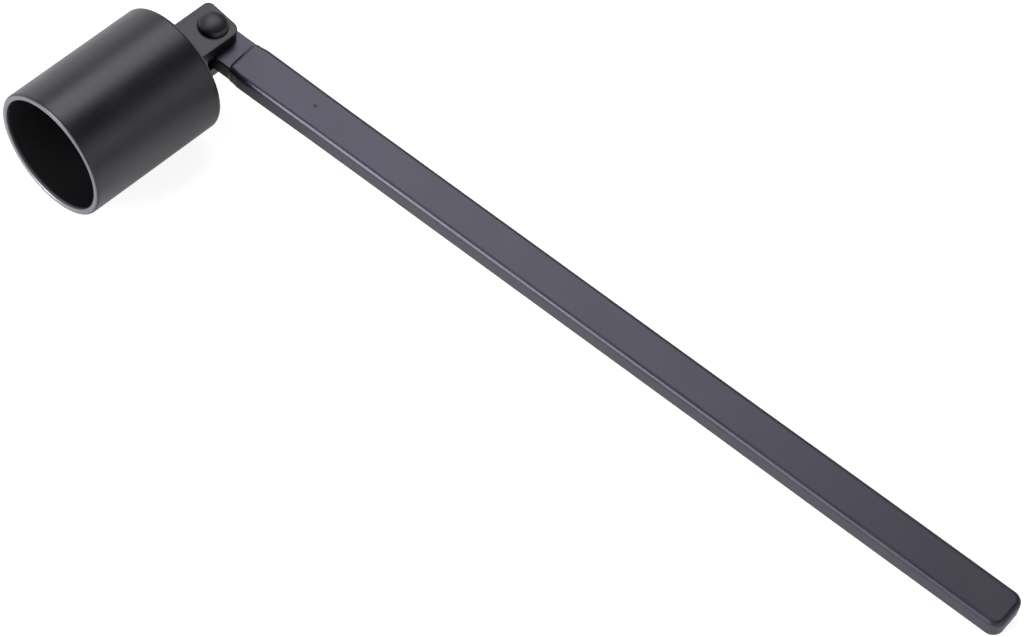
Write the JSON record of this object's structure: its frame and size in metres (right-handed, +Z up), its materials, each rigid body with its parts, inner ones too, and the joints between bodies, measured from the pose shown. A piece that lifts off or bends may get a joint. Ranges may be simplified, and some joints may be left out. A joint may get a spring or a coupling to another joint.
{
  "type": "candle snuffer",
  "caption": "Candle snuffer with a round open cup on a riveted tilting hinge and a long flat bar handle.",
  "frame": {"origin": "centre of the cup's open mouth, on the cup's axis", "axes": "+Y along the cup's axis from its mouth to its back, +X the way the handle points, +Z up, with the part lying on its side on a level surface 12.5 mm below the origin"},
  "size_m": [0.1871, 0.0631, 0.025],
  "materials": {
    "black_coating": "satin black coating on steel",
    "black_oxide": "black oxide on steel"
  },
  "bodies": {
    "cup_head": {"snuffer_cup": "black_coating", "hinge_block": "black_coating", "cup_screw": "black_oxide", "lock_washer": "black_oxide", "hinge_rivet": "black_coating"},
    "handle": {"handle_bar": "black_coating"}
  },
  "joints": [
    {"name": "cup_hinge", "type": "hinge", "parent": "cup_head", "child": "handle", "pos_m": [0, 0.0387, 0], "axis": [0.0598, 0, 0.9982], "range_deg": [-16, 182]}
  ]
}
